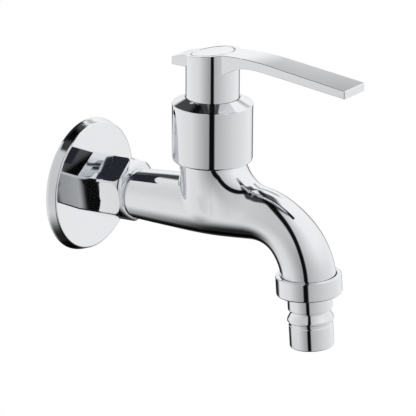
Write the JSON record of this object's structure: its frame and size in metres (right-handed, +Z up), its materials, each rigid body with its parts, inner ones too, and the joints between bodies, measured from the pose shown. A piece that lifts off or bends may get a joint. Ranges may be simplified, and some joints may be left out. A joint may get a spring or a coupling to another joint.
{
  "type": "wall-mounted water tap",
  "caption": "Wall-mounted cold water tap with a lever handle on a quarter-turn ceramic disc cartridge, a bent spout and a quick-connect hose nozzle.",
  "frame": {"origin": "a point on the axis of the inlet thread, in the plane of the wall flange's back face", "axes": "+X out of the wall along the inlet towards the spout, +Z up along the valve axis"},
  "size_m": [0.1414, 0.057, 0.1175],
  "materials": {
    "chrome": "polished chrome plate on brass",
    "index_chrome": "plain pale metallised cap",
    "brass": "turned brass",
    "ceramic": "lapped alumina",
    "rubber": "moulded rubber",
    "nylon": "moulded low-friction plastic",
    "spring_steel": "stainless steel"
  },
  "bodies": {
    "tap": {"bonnet_sleeve": "chrome", "cartridge_housing": "brass", "collar_nut": "chrome", "fixed_disc": "ceramic", "hose_nozzle": "chrome", "housing_o_ring": "rubber", "nozzle_washer": "rubber", "seal_support_ring": "nylon", "seat_seal": "rubber", "tap_body": "chrome", "wall_flange": "chrome"},
    "handle_turn": {"handle": "chrome", "index_cap": "index_chrome", "handle_screw": "spring_steel", "spindle": "brass", "spindle_circlip": "spring_steel", "slip_washer": "nylon", "thrust_washer": "nylon", "moving_disc": "ceramic", "spindle_o_ring_lower": "rubber", "spindle_o_ring_upper": "rubber"}
  },
  "joints": [
    {"name": "handle_quarter_turn", "type": "hinge", "parent": "tap", "child": "handle_turn", "pos_m": [0.064, 0, 0.048], "axis": [0, 0, 1], "range_deg": [0, 90]}
  ]
}
